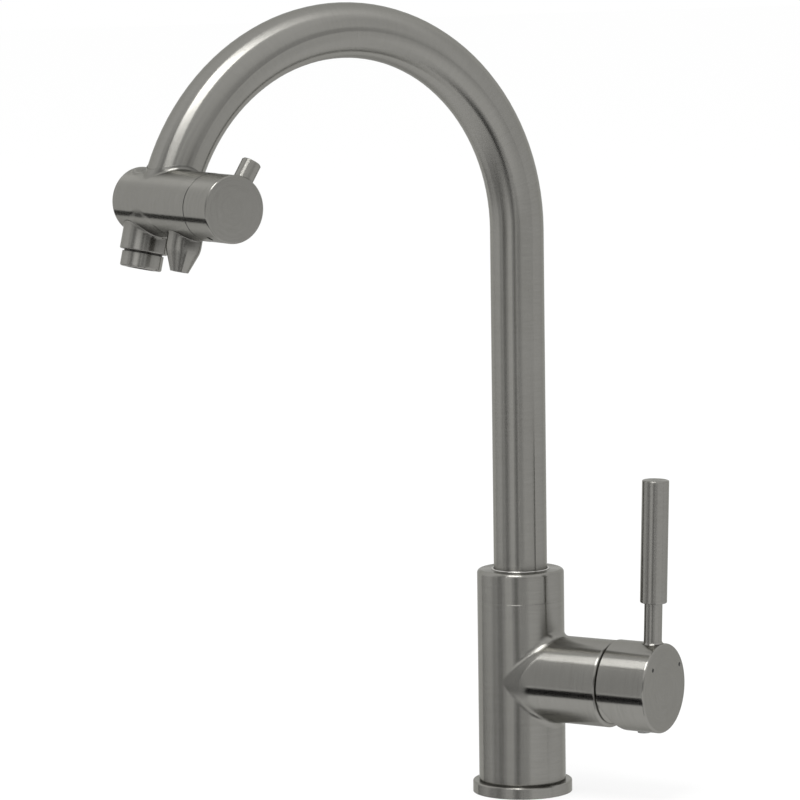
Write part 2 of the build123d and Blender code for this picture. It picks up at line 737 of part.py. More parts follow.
with BuildPart() as valve_body:
    with BuildSketch(head_plane.offset(valve_seat)):
        Circle(valve_r)
    extrude(amount=valve_lip_top - valve_lip_t - valve_seat)
    with BuildSketch(head_plane.offset(valve_lip_top - valve_lip_t)):
        Circle(valve_lip_r)
    extrude(amount=valve_lip_t)
    with BuildSketch(head_plane.offset(valve_lip_top)):
        Circle(valve_neck_r)
    extrude(amount=valve_neck_l)
    with BuildSketch(head_plane.offset(valve_seat)):
        Circle(valve_disc_r + running_gap)
    extrude(amount=valve_room_l, mode=Mode.SUBTRACT)
    with BuildSketch(head_plane.offset(valve_roof)):
        Circle(spindle_r + running_gap)
    extrude(amount=valve_neck_top - valve_roof, mode=Mode.SUBTRACT)
    with BuildSketch(nozzle_plane.offset(-valve_r)):
        Circle(valve_port_r)
    extrude(amount=2 * valve_r, mode=Mode.SUBTRACT)
save(valve_body, "valve_body")

with BuildPart() as valve_fixed_disc:
    with BuildSketch(head_plane.offset(valve_seat)):
        Circle(valve_disc_r)
        with Locations((0, -disc_hole_off), (0, disc_hole_off)):
            Circle(disc_hole_r, mode=Mode.SUBTRACT)
    extrude(amount=valve_fixed_t)
save(valve_fixed_disc, "valve_fixed_disc")

with BuildPart() as valve_moving_disc:
    with BuildSketch(head_plane.offset(valve_fixed_top)):
        Circle(valve_disc_r)
        with Locations((-disc_hole_off, 0), (disc_hole_off, 0)):
            Circle(disc_hole_r, mode=Mode.SUBTRACT)
    extrude(amount=valve_moving_t)
    with BuildSketch(head_plane.offset(valve_moving_top - spindle_blade_in)):
        Rectangle(spindle_blade[0] + 2 * seat_gap, spindle_blade[1] + 2 * seat_gap)
    extrude(amount=spindle_blade_in, mode=Mode.SUBTRACT)
save(valve_moving_disc, "valve_moving_disc")

foot_top = valve_roof - free_gap
with BuildPart() as valve_spindle:
    with BuildSketch(head_plane.offset(valve_moving_top - spindle_blade_in + seat_gap)):
        Rectangle(*spindle_blade)
    extrude(amount=foot_top - valve_moving_top + spindle_blade_in - seat_gap)
    with BuildSketch(head_plane.offset(foot_top - spindle_foot_t)):
        Circle(valve_disc_r)
    extrude(amount=spindle_foot_t)
    with BuildSketch(head_plane.offset(foot_top)):
        Circle(spindle_r)
    extrude(amount=valve_neck_top + spindle_neck_over - foot_top)
    with BuildSketch(knob_plane.offset(valve_neck_top + spindle_neck_over)):
        Rectangle(spindle_square, spindle_square)
    extrude(amount=spindle_square_l)
    with BuildSketch(head_half):
        with Locations((spindle_r, (valve_roof + valve_neck_top) / 2)):
            Rectangle(2 * oring_r, 2 * (oring_r + seat_gap))
    revolve(axis=head_axis, mode=Mode.SUBTRACT)
save(valve_spindle, "valve_spindle")

with BuildPart() as spindle_oring:
    with BuildSketch(head_half):
        with Locations((spindle_r - oring_r / 2, (valve_roof + valve_neck_top) / 2)):
            Circle(oring_r / 2)
    revolve(axis=head_axis)
save(spindle_oring, "spindle_oring")

# Filtered-water knob with its peg and fixing screw
with BuildPart() as filter_knob:
    with BuildSketch(head_plane.offset(knob_low)):
        Circle(knob_r)
    extrude(amount=knob_l)
    face_rim = filter_knob.edges().sort_by(Axis.X)[-1]
    fillet(face_rim, radius=knob_edge)
    with BuildSketch(head_plane.offset(knob_low)):
        Circle(knob_room_r)
    extrude(amount=knob_room_l, mode=Mode.SUBTRACT)
    with BuildSketch(knob_plane.offset(knob_room_top)):
        Rectangle(spindle_square + 2 * seat_gap, spindle_square + 2 * seat_gap)
    extrude(amount=spindle_top + seat_gap - knob_room_top, mode=Mode.SUBTRACT)
    with BuildSketch(peg_plane.offset(knob_r - peg_stud_l)):
        Circle(peg_stud_r + seat_gap)
    extrude(amount=peg_stud_l, mode=Mode.SUBTRACT)
    with BuildSketch(knob_grub_plane):
        Circle(knob_grub_r + seat_gap)
    extrude(amount=knob_r, mode=Mode.SUBTRACT)
save(filter_knob, "filter_knob")

with BuildPart() as knob_peg:
    with BuildSketch(peg_plane):
        Circle(peg_r)
    extrude(amount=peg_reach)
    chamfer(knob_peg.edges().sort_by(Axis(peg_plane.origin, peg_dir))[-1], length=peg_edge)
    with BuildSketch(head_plane.offset(knob_low)):
        Circle(knob_r + seat_gap)
    extrude(amount=knob_l, mode=Mode.SUBTRACT)
    with BuildSketch(peg_plane.offset(knob_r - peg_stud_l + seat_gap)):
        Circle(peg_stud_r)
    extrude(amount=peg_stud_l)
save(knob_peg, "knob_peg")

knob_grub_start = spindle_square / 2 + seat_gap
with BuildPart() as knob_grub:
    with BuildSketch(knob_grub_plane.offset(knob_grub_start)):
        Circle(knob_grub_r)
    extrude(amount=knob_grub_l)
    with BuildSketch(knob_grub_plane.offset(knob_grub_start + knob_grub_l / 2)):
        RegularPolygon(knob_grub_key / 2, 6)
    extrude(amount=knob_grub_l / 2, mode=Mode.SUBTRACT)
save(knob_grub, "knob_grub")

# Mixing cartridge: base with its port seals, housing, ceramic discs, carrier and rotor
seal_floor = 2 * port_seal_r
with BuildPart() as cartridge_base:
    with BuildSketch(branch_plane.offset(seat_s)):
        Circle(cartridge_r)
        with Locations(*inlet_ports):
            Circle(base_port_r, mode=Mode.SUBTRACT)
        with Locations((0, outlet_port_y)):
            Circle(outlet_port_r, mode=Mode.SUBTRACT)
    extrude(amount=base_t)
    with BuildSketch(branch_plane.offset(seat_s)):
        with Locations(*inlet_ports):
            Circle(base_port_r + 2 * port_seal_r + seat_gap)
        with Locations((0, outlet_port_y)):
            Circle(outlet_port_r + 2 * port_seal_r + seat_gap)
    extrude(amount=seal_floor, mode=Mode.SUBTRACT)
save(cartridge_base, "cartridge_base")

with BuildPart() as port_seals:
    with BuildSketch(branch_plane.offset(seat_s)):
        with Locations(*inlet_ports):
            Circle(base_port_r + 2 * port_seal_r)
            Circle(base_port_r, mode=Mode.SUBTRACT)
        with Locations((0, outlet_port_y)):
            Circle(outlet_port_r + 2 * port_seal_r)
            Circle(outlet_port_r, mode=Mode.SUBTRACT)
    extrude(amount=seal_floor)
save(port_seals, "port_seals")

with BuildPart() as cartridge_housing:
    with BuildSketch(branch_half):
        with BuildLine():
            Polyline(
                (cartridge_r - housing_wall, base_top_s),
                (cartridge_r, base_top_s),
                (cartridge_r, shoulder_s),
                (housing_neck_r, shoulder_s),
                (housing_neck_r, housing_top_s),
                (rotor_neck_r + running_gap, housing_top_s),
                (rotor_neck_r + running_gap, shoulder_s - housing_roof),
                (cartridge_r - housing_wall, shoulder_s - housing_roof),
                close=True,
            )
        make_face()
    revolve(axis=branch_axis)
save(cartridge_housing, "cartridge_housing")

with BuildPart() as fixed_disc:
    with BuildSketch(branch_plane.offset(base_top_s)):
        Circle(cartridge_r - housing_wall - seat_gap)
        with Locations(*inlet_ports):
            Circle(base_port_r, mode=Mode.SUBTRACT)
        with Locations((0, outlet_port_y)):
            Circle(outlet_port_r, mode=Mode.SUBTRACT)
    extrude(amount=fixed_disc_t)
save(fixed_disc, "fixed_disc")

with BuildPart() as moving_disc:
    with BuildSketch(branch_plane.offset(fixed_top_s)):
        with Locations((0, disc_rest_y)):
            Circle(moving_disc_r)
    extrude(amount=moving_disc_t)
    with BuildSketch(branch_plane.offset(fixed_top_s)):
        with Locations((0, outlet_port_y + disc_rest_y)):
            Circle(outlet_port_r)
        with Locations((0, disc_rest_y)):
            Circle(outlet_port_r)
            Rectangle(2 * outlet_port_r, outlet_port_y, align=(Align.CENTER, Align.MIN))
    extrude(amount=disc_pocket_t, mode=Mode.SUBTRACT)
save(moving_disc, "moving_disc")

with BuildPart() as disc_carrier:
    with BuildSketch(branch_plane.offset(moving_top_s)):
        with Locations((0, disc_rest_y)):
            Circle(moving_disc_r)
    extrude(amount=carrier_t)
    with BuildSketch(branch_plane.offset(carrier_top_s)):
        with Locations((0, carrier_key_y)):
            Rectangle(stem_side, carrier_key_h)
    extrude(amount=carrier_key_t)
    with BuildSketch(branch_plane.offset(moving_top_s)):
        Circle(stem_ball_r + free_gap)
    extrude(amount=carrier_t, mode=Mode.SUBTRACT)
save(disc_carrier, "disc_carrier")

# Slot of the rotor: as wide as the stem and the key of the carrier, long enough for the tilt
tilt_sin = sin(radians(tilt))
rotor_top_s = housing_top_s + rotor_neck_over
slot_low = -(stem_side / 2 + (rotor_top_s - pivot_s + stem_side * tilt_sin / 2) * tilt_sin + 2 * free_gap)
slot_high = stem_ball_l * tilt_sin + stem_ball_r + free_gap
with BuildPart() as cartridge_rotor:
    with BuildSketch(branch_plane.offset(rotor_low_s)):
        Circle(rotor_flange_r)
    extrude(amount=rotor_flange_t)
    with BuildSketch(branch_plane.offset(rotor_step_s)):
        Circle(rotor_neck_r)
    extrude(amount=rotor_top_s - rotor_step_s)
    with BuildSketch(branch_plane.offset(rotor_low_s)):
        with Locations((0, slot_low)):
            Rectangle(stem_side + 2 * running_gap, slot_high - slot_low, align=(Align.CENTER, Align.MIN))
    extrude(amount=rotor_top_s - rotor_low_s, mode=Mode.SUBTRACT)
    with BuildSketch(pivot_plane.offset(-stem_pin_l / 2)):
        Circle(stem_pin_r + seat_gap)
    extrude(amount=stem_pin_l, mode=Mode.SUBTRACT)
save(cartridge_rotor, "cartridge_rotor")

with BuildPart() as stem_pin:
    with BuildSketch(pivot_plane.offset(-stem_pin_l / 2)):
        Circle(stem_pin_r)
    extrude(amount=stem_pin_l)
save(stem_pin, "stem_pin")

# Stem: square bar through the pivot, with a slim rod and a ball below it
stem_ball_s = pivot_s - stem_ball_l
with BuildPart() as cartridge_stem:
    with BuildSketch(branch_plane.offset(pivot_s - stem_below)):
        Rectangle(stem_side, stem_side)
    extrude(amount=stem_end - pivot_s + stem_below)
    with BuildSketch(branch_half):
        with BuildLine():
            Polyline(
                (0, stem_ball_s - stem_ball_r),
                (0, pivot_s - stem_below),
                (stem_rod_r, pivot_s - stem_below),
                (stem_rod_r, stem_ball_s + sqrt(stem_ball_r ** 2 - stem_rod_r ** 2)),
            )
            ThreePointArc(
                (stem_rod_r, stem_ball_s + sqrt(stem_ball_r ** 2 - stem_rod_r ** 2)),
                (stem_ball_r, stem_ball_s),
                (0, stem_ball_s - stem_ball_r),
            )
        make_face()
    revolve(axis=branch_axis)
    with BuildSketch(pivot_plane.offset(-stem_side)):
        Circle(stem_pin_r + running_gap)
    extrude(amount=2 * stem_side, mode=Mode.SUBTRACT)
save(cartridge_stem, "cartridge_stem")

# Nut with four key slots, and the dome that covers it
with BuildPart() as cartridge_nut:
    with BuildSketch(branch_plane.offset(shoulder_s)):
        Circle(nut_r)
        Circle(housing_neck_r + seat_gap, mode=Mode.SUBTRACT)
    extrude(amount=nut_t)
    with BuildSketch(branch_plane.offset(nut_top_s - nut_t / 2)):
        with PolarLocations(nut_r - nut_thread, nut_slots):
            Rectangle(nut_slot_w, nut_slot_w)
    extrude(amount=nut_t / 2, mode=Mode.SUBTRACT)
save(cartridge_nut, "cartridge_nut")


def on_sphere(sphere_r, r):
    """Point of the branch's half section on a sphere round the pivot, at radius r."""
    return (r, pivot_s + sqrt(sphere_r ** 2 - r ** 2))


skirt_in = nut_r - dome_skirt_t
dome_in = dome_r - dome_t
with BuildPart() as dome_cover:
    with BuildSketch(branch_half):
        with BuildLine():
            Polyline(
                on_sphere(dome_in, skirt_in),
                (skirt_in, nut_top_s + skirt_gap),
                (nut_r, nut_top_s + skirt_gap),
                (nut_r, branch_end),
                (dome_foot_r, branch_end),
            )
            ThreePointArc(
                (dome_foot_r, branch_end),
                on_sphere(dome_r, (dome_foot_r + dome_hole_r) / 2),
                on_sphere(dome_r, dome_hole_r),
            )
            Line(on_sphere(dome_r, dome_hole_r), on_sphere(dome_in, dome_hole_r))
            ThreePointArc(
                on_sphere(dome_in, dome_hole_r),
                on_sphere(dome_in, (skirt_in + dome_hole_r) / 2),
                on_sphere(dome_in, skirt_in),
            )
        make_face()
    revolve(axis=branch_axis)
save(dome_cover, "dome_cover")

# Lever hub: hollow drum with a relief cut behind its foot, so that it can lean outwards
relief_start = branch_start + branch_dir * hub_rear + Vector(0, 0, -relief_drop)
relief_dir = branch_dir * -cos(radians(relief_angle)) + Vector(0, 0, -sin(radians(relief_angle)))
relief_plane = Plane(origin=relief_start, x_dir=branch_side, z_dir=relief_dir)
hub_top = Vector(0, hub_r)
dot_places = {
    "left_dot": (hub_top - Vector(0, left_dot_inset)).rotate(Axis.Z, left_dot_turn),
    "right_dot": (hub_top - Vector(0, right_dot_inset)).rotate(Axis.Z, -right_dot_turn),
}
with BuildPart() as lever_hub:
    with BuildSketch(branch_plane.offset(hub_rear)):
        Circle(hub_r)
    extrude(amount=hub_l)
    face_rim = lever_hub.edges().sort_by(branch_axis)[-1]
    fillet(face_rim, radius=hub_edge)
    with BuildSketch(branch_plane.offset(hub_rear)):
        Circle(hub_bore_r)
    extrude(amount=hub_floor - hub_rear, mode=Mode.SUBTRACT)
    with BuildSketch(branch_plane.offset(hub_floor)):
        Rectangle(stem_side + 2 * seat_gap, stem_side + 2 * seat_gap)
    extrude(amount=stem_end + socket_end_gap - hub_floor, mode=Mode.SUBTRACT)
    with BuildSketch(lever_plane.offset(hub_r - pin_seat)):
        Circle(pin_r + seat_gap)
    extrude(amount=2 * pin_seat, mode=Mode.SUBTRACT)
    with BuildSketch(lever_plane.offset(hub_r - pin_seat - pin_stud_l)):
        Circle(pin_stud_r + seat_gap)
    extrude(amount=pin_stud_l, mode=Mode.SUBTRACT)
    with BuildSketch(grub_plane):
        Circle(grub_r + seat_gap)
    extrude(amount=hub_r, mode=Mode.SUBTRACT)
    with BuildSketch(grub_plane.offset(hub_r - plug_t)):
        Circle(plug_r + seat_gap)
    extrude(amount=plug_t, mode=Mode.SUBTRACT)
    with BuildSketch(branch_plane.offset(hub_face - dot_t)):
        with Locations(*dot_places.values()):
            Circle(dot_r + seat_gap)
    extrude(amount=dot_t, mode=Mode.SUBTRACT)
    with BuildSketch(relief_plane):
        Rectangle(4 * hub_r, 4 * hub_r)
    extrude(amount=2 * hub_r, mode=Mode.SUBTRACT)
save(lever_hub, "lever_hub")

# Lever pin: its foot flares out onto the round of the hub, so the drum is there first and is then cut away
pin_top = grip_low_z - branch_z + grip_bore_l - seat_gap
with BuildPart() as lever_pin:
    with BuildSketch(branch_plane.offset(hub_rear)):
        Circle(hub_r)
    extrude(amount=hub_l)
    with BuildSketch(lever_plane.offset(hub_r - pin_seat)):
        Circle(pin_r)
    extrude(amount=pin_top - hub_r + pin_seat)
    foot_line = lever_pin.edges().filter_by(GeomType.BSPLINE)
    fillet(foot_line, radius=pin_foot_r)
    with BuildSketch(branch_plane.offset(hub_rear)):
        Circle(hub_r + seat_gap)
    extrude(amount=hub_l, mode=Mode.SUBTRACT)
    with BuildSketch(lever_plane.offset(hub_r - pin_seat)):
        Circle(pin_r)
    extrude(amount=pin_top - hub_r + pin_seat)
    with BuildSketch(lever_plane.offset(hub_r - pin_seat - pin_stud_l + seat_gap)):
        Circle(pin_stud_r)
    extrude(amount=pin_stud_l - seat_gap)
save(lever_pin, "lever_pin")

with BuildPart() as lever_grip:
    with BuildSketch(lever_plane.offset(grip_low_z - branch_z)):
        Circle(grip_r)
    extrude(amount=grip_top_z - grip_low_z)
    end_rims = lever_grip.edges().filter_by(GeomType.CIRCLE)
    fillet(end_rims, radius=grip_edge)
    with BuildSketch(lever_plane.offset(grip_low_z - branch_z)):
        Circle(pin_r + seat_gap)
    extrude(amount=grip_bore_l, mode=Mode.SUBTRACT)
save(lever_grip, "lever_grip")

grub_start = stem_side / 2 + seat_gap
with BuildPart() as grub_screw:
    with BuildSketch(grub_plane.offset(grub_start)):
        Circle(grub_r)
    extrude(amount=grub_l)
    with BuildSketch(grub_plane.offset(grub_start + grub_l / 2)):
        RegularPolygon(grub_key / 2, 6)
    extrude(amount=grub_l / 2, mode=Mode.SUBTRACT)
save(grub_screw, "grub_screw")

with BuildPart() as hub_plug:
    with BuildSketch(grub_plane.offset(hub_r - plug_t)):
        Circle(plug_r)
    extrude(amount=plug_t + plug_proud)
save(hub_plug, "hub_plug")

for dot_name, place in dot_places.items():
    with BuildPart() as index_dot:
        with BuildSketch(branch_plane.offset(hub_face - dot_t)):
            with Locations(place):
                Circle(dot_r)
        extrude(amount=dot_t - dot_sunk)
    save(index_dot, dot_name)
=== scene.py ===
"""Looks of the kitchen mixer tap: brushed steel in a pale studio, seen as in the photograph."""

import json
from math import cos, radians, sin

import bpy
from mathutils import Matrix, Vector

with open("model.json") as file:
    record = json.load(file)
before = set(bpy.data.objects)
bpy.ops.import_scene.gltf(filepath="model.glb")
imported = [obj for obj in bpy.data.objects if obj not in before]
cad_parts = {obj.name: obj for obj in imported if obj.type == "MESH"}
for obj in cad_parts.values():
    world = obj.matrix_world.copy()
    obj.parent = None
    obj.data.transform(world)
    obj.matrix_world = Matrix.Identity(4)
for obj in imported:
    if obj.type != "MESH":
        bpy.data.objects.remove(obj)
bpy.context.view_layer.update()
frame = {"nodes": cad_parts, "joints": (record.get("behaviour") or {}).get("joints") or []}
nodes = frame["nodes"]
joints = {joint["name"]: joint for joint in frame["joints"]}
scene = bpy.context.scene
up = Vector((0, 0, 1))

# Axes of the branch and of the head, which are those of two joints
branch_foot = Vector(joints["mixer_turn"]["pos_m"])
branch_dir = Vector(joints["mixer_turn"]["axis"])
head_centre = Vector(joints["filter_turn"]["pos_m"])
head_dir = Vector(joints["filter_turn"]["axis"])

# Further places on the frame that the looks follow, in metres. A name that ends in _s is a distance
# along the branch or the head.
column_r = 0.0228
branch_r = 0.0227
tube_r = 0.014
arch_start_z = 0.2958
arch_r = 0.1062
end_lean = radians(21)     # of the end of the arch from straight down
head_r = 0.0167
nozzle_lean = radians(13)  # of both outlets from straight down
outlet_s = -0.0132
outlet_r = 0.0119
nozzle_s = 0.024
nozzle_r = 0.0087
peg_s = 0.0589
peg_turn = radians(32)     # from upright
branch_joint_s = 0.0273    # joint of the body and the branch sleeve, from the column's axis
lever_s = 0.0777
lever_lean = radians(1.6)  # from upright

end_dir = Vector((0, -sin(end_lean), -cos(end_lean)))
nozzle_dir = Vector((0, -sin(nozzle_lean), -cos(nozzle_lean)))
peg_dir = Vector((0, sin(peg_turn), cos(peg_turn)))
lever_foot = branch_foot + branch_dir * lever_s
lever_dir = up * cos(lever_lean) + branch_dir * sin(lever_lean)


# Camera at the photograph's angle
view_azimuth = radians(56.24)
view_elevation = radians(6.353)
view_roll = radians(-0.756)
view_target = Vector((-0.05448, -0.02515, 0.215))
view_distance = 2.3036
focal_px = 4359.8
photo_px = 800
shift = (-0.02522, -0.02665)


def make_camera():
    """Camera on its ray towards the target, with the small roll of the photograph."""
    data = bpy.data.cameras.new("camera")
    data.sensor_width = 36
    data.lens = focal_px / photo_px * data.sensor_width
    data.shift_x, data.shift_y = shift
    data.clip_start, data.clip_end = 0.1, 50
    camera = bpy.data.objects.new("camera", data)
    scene.collection.objects.link(camera)
    level = cos(view_elevation)
    back = Vector((sin(view_azimuth) * level, -cos(view_azimuth) * level, sin(view_elevation)))
    right = up.cross(back).normalized()
    top = back.cross(right)
    rolled_right = right * cos(view_roll) + top * sin(view_roll)
    rolled_top = top * cos(view_roll) - right * sin(view_roll)
    turn = Matrix((rolled_right, rolled_top, back)).transposed()
    camera.matrix_world = Matrix.Translation(view_target + back * view_distance) @ turn.to_4x4()
    scene.camera = camera


# Node helpers
class Nodes:
    """Short way to write a node tree. A value that is a socket is joined, and any other is set."""

    def __init__(self, owner):
        owner.use_nodes = True
        self.tree = owner.node_tree
        self.tree.nodes.clear()

    def add(self, kind, inputs=(), **settings):
        """Add a node with its inputs and settings, and return it. Most other methods return an output."""
        node = self.tree.nodes.new(kind)
        for key, value in settings.items():
            setattr(node, key, value)
        for socket, value in dict(inputs).items():
            self.put(node, socket, value)
        return node

    def put(self, node, socket, value):
        if isinstance(value, bpy.types.NodeSocket):
            self.tree.links.new(value, node.inputs[socket])
        else:
            node.inputs[socket].default_value = value

    def math(self, operation, a, b=0.0, c=0.0):
        node = self.add("ShaderNodeMath", {0: a, 1: b, 2: c}, operation=operation)
        return node.outputs[0]

    def vector(self, operation, a, b=(0, 0, 0)):
        node = self.add("ShaderNodeVectorMath", {0: a, 1: b}, operation=operation)
        return node.outputs["Value" if operation in ("DOT_PRODUCT", "LENGTH") else "Vector"]

    def scale(self, a, factor):
        node = self.add("ShaderNodeVectorMath", {0: a, "Scale": factor}, operation="SCALE")
        return node.outputs["Vector"]

    def pick(self, factor, a, b):
        """Vector a where factor is 0, vector b where it is 1."""
        node = self.add("ShaderNodeMix", data_type="VECTOR")
        self.put(node, "Factor", factor)
        vectors = [socket for socket in node.inputs if socket.type == "VECTOR" and socket.enabled]
        ends = [socket for socket in vectors if socket.name in ("A", "B")]
        for socket, value in zip(ends, (a, b)):
            if isinstance(value, bpy.types.NodeSocket):
                self.tree.links.new(value, socket)
            else:
                socket.default_value = value
        return next(socket for socket in node.outputs if socket.type == "VECTOR" and socket.enabled)

    def noise(self, vector, density, detail):
        node = self.add("ShaderNodeTexNoise", {"Vector": vector, "Scale": density, "Detail": detail})
        return node.outputs["Fac"]

    def ramp(self, factor, dark, light):
        """Colour that goes from dark to light over the middle of the factor's range."""
        node = self.add("ShaderNodeValToRGB", {"Fac": factor})
        for end, place, colour in zip(node.color_ramp.elements, (0.3, 0.7), (dark, light)):
            end.position, end.color = place, (*colour, 1)
        return node.outputs["Color"]

    def surface(self, shader, output="ShaderNodeOutputMaterial"):
        """Join a shader to the output of the tree."""
        self.add(output, {"Surface": shader.outputs[0]})


def turned_round(n, spot, point, axis):
    """Axial place, radius and radial direction of a spot about an axis."""
    offset = n.vector("SUBTRACT", spot, point)
    axial = n.vector("DOT_PRODUCT", offset, axis)
    radial = n.vector("SUBTRACT", offset, n.scale(axis, axial))
    return axial, n.vector("LENGTH", radial), n.vector("NORMALIZE", radial)


def arch_axis(n, spot):
    """Point and direction of the spout's centre line nearest to a spot, and the way along it."""
    parts = n.add("ShaderNodeSeparateXYZ", {0: spot})
    from_mid_y = n.math("ADD", parts.outputs["Y"], arch_r)
    from_mid_z = n.math("SUBTRACT", parts.outputs["Z"], arch_start_z)
    from_mid = n.add("ShaderNodeCombineXYZ", {1: from_mid_y, 2: from_mid_z}).outputs[0]
    spoke = n.vector("NORMALIZE", from_mid)
    point = n.vector("ADD", n.scale(spoke, arch_r), (0, -arch_r, arch_start_z))
    axis = n.vector("CROSS_PRODUCT", tuple(head_dir), spoke)
    along = n.math("MULTIPLY", n.math("ARCTAN2", from_mid_z, from_mid_y), arch_r)
    in_arch = n.math("GREATER_THAN", parts.outputs["Z"], arch_start_z)
    low_point = n.add("ShaderNodeCombineXYZ", {2: parts.outputs["Z"]}).outputs[0]
    below_arch = n.math("SUBTRACT", 1.0, in_arch)
    low_along = n.math("SUBTRACT", parts.outputs["Z"], arch_start_z)
    way = n.math("ADD", n.math("MULTIPLY", along, in_arch), n.math("MULTIPLY", low_along, below_arch))
    return n.pick(in_arch, low_point, point), n.pick(in_arch, tuple(up), axis), way


steel_dark = (0.244, 0.239, 0.221)
steel_light = (0.291, 0.286, 0.268)
rim_tint = (0.60, 0.60, 0.58)      # keeps the steel grey where it is seen at a flat angle
form_blend = 0.003                 # width over which the brush lines turn from one form to the next
fine_lines = 5200.0                # fine brush lines per metre, roughly
coarse_lines = 900.0
fine_drift = 2.2                   # how soon a fine line changes on its way round the form
coarse_drift = 1.3
smudge_density = 38.0              # smudges per metre, roughly
# Painted shade: the colour darkens in the corners of the head and the aerator
painted_shade_reach = 0.014               # within which other surfaces darken a corner of the head as painted shade
painted_shade_power = 1.6
flat_power = 12.0                  # how closely a face must lie across the axis to count as a flat end
swing = 0.05                       # of the roughness with the lines, and again with the smudges
fine_tone, coarse_tone, smudge_tone = 0.45, 0.3, 0.25     # shares of each in the colour's change
line_relief, line_depth = 0.08, 0.00004                   # strength and height of the lines' bumps
sheen_stretch = 0.97               # of the highlights along the axis, where 1 is the most


def brushed(name, point=None, axis=None, radius=0.0, others=(), lag=0.0, arch=False,
            dark=steel_dark, light=steel_light, roughness=0.24, edge=0.0004, joint_s=None,
            corners=False, flat_end=False):
    """Steel with fine brush lines round an axis, a stretched sheen along it and softened edges.

    radius is that of the form round the axis. others are (point, axis, radius) of further round forms of
    the same piece: each spot takes the lines of the form whose surface lies nearest, where lag favours
    the first form by that distance. With arch the axis is the spout's centre line. edge is the radius of
    the softened edges. joint_s is how far along the branch a joint lies whose edges stay sharp, so that
    no seam shows there. corners paints shade into the colour, darker where other surfaces lie near, as
    in corners and creases. flat_end gives a flat end one even sheen, stretched upwards.
    """
    material = bpy.data.materials.new(name)
    n = Nodes(material)
    place = n.add("ShaderNodeTexCoord")
    spot, facing = place.outputs["Object"], place.outputs["Normal"]
    if arch:
        point, axis, axial = arch_axis(n, spot)
        _, reach, spoke = turned_round(n, spot, point, axis)
    else:
        axis = tuple(axis)
        axial, reach, spoke = turned_round(n, spot, tuple(point), axis)
    sheen_way = n.vector("CROSS_PRODUCT", n.vector("CROSS_PRODUCT", axis, spoke), facing)
    across = n.math("ADD", axial, reach)
    nearest = n.math("ABSOLUTE", n.math("SUBTRACT", reach, radius))
    for other_point, other_axis, other_radius in others:
        other_axis = tuple(other_axis)
        other_axial, other_reach, other_spoke = turned_round(n, spot, tuple(other_point), other_axis)
        miss = n.math("ABSOLUTE", n.math("SUBTRACT", other_reach, other_radius))
        lead = n.math("SUBTRACT", nearest, miss)
        raw_share = n.math("MULTIPLY_ADD", lead, 1 / form_blend, 0.5 - lag / form_blend)
        share = n.math("MINIMUM", n.math("MAXIMUM", raw_share, 0.0), 1.0)
        other_round = n.vector("CROSS_PRODUCT", other_axis, other_spoke)
        other_way = n.vector("CROSS_PRODUCT", other_round, facing)
        sheen_way = n.pick(share, sheen_way, other_way)
        axis = n.pick(share, axis, other_axis)
        spoke = n.pick(share, spoke, other_spoke)
        step = n.math("SUBTRACT", n.math("ADD", other_axial, other_reach), across)
        across = n.math("MULTIPLY_ADD", share, step, across)
        nearest = n.math("MINIMUM", nearest, miss)
    if flat_end:
        end_on = n.math("ABSOLUTE", n.vector("DOT_PRODUCT", facing, axis))
        sheen_way = n.pick(n.math("POWER", end_on, flat_power), sheen_way, tuple(up))
    tangent = n.add("ShaderNodeVectorTransform", {0: sheen_way}, vector_type="VECTOR",
                    convert_from="OBJECT", convert_to="WORLD").outputs[0]
    fine_at = n.vector("ADD", n.scale(axis, n.math("MULTIPLY", across, fine_lines)),
                       n.scale(spoke, fine_drift))
    coarse_at = n.vector("ADD", n.scale(axis, n.math("MULTIPLY", across, coarse_lines)),
                         n.scale(spoke, coarse_drift))
    fine = n.noise(fine_at, 1.0, 3.0)
    coarse = n.noise(coarse_at, 1.0, 2.0)
    smudge = n.noise(spot, smudge_density, 3.0)
    lesser_tone = n.math("ADD", n.math("MULTIPLY", coarse, coarse_tone),
                         n.math("MULTIPLY", smudge, smudge_tone))
    tone = n.math("ADD", n.math("MULTIPLY", fine, fine_tone), lesser_tone)
    colour = n.ramp(tone, dark, light)
    # Painted shade: the colour darkens in corners and creases, where other surfaces lie near
    if corners:
        openness = n.add("ShaderNodeAmbientOcclusion", {"Distance": painted_shade_reach}, samples=8)
        colour = n.scale(colour, n.math("POWER", openness.outputs["AO"], painted_shade_power))
    smudge_part = n.math("MULTIPLY", n.math("SUBTRACT", smudge, 0.5), swing)
    fine_part = n.math("MULTIPLY", n.math("SUBTRACT", fine, 0.5), swing)
    sharp = n.math("ADD", fine_part, n.math("ADD", smudge_part, roughness))
    soft_edge = edge
    if joint_s is not None:
        from_foot = n.vector("SUBTRACT", spot, tuple(branch_foot))
        along_branch = n.vector("DOT_PRODUCT", from_foot, tuple(branch_dir))
        from_joint = n.math("ABSOLUTE", n.math("SUBTRACT", along_branch, joint_s))
        away = n.math("MINIMUM", n.math("DIVIDE", from_joint, 2 * edge), 1.0)
        soft_edge = n.math("MULTIPLY", away, edge)
    rounded = n.add("ShaderNodeBevel", {"Radius": soft_edge}, samples=6).outputs[0]
    grain = n.add("ShaderNodeBump", {
        "Height": fine, "Strength": line_relief, "Distance": line_depth, "Normal": rounded,
    })
    shader = n.add("ShaderNodeBsdfPrincipled", {
        "Base Color": colour, "Metallic": 1.0, "Roughness": sharp, "Anisotropic": sheen_stretch,
        "Specular Tint": (*rim_tint, 1), "Normal": grain.outputs[0], "Tangent": tangent,
    })
    n.surface(shader)
    return material


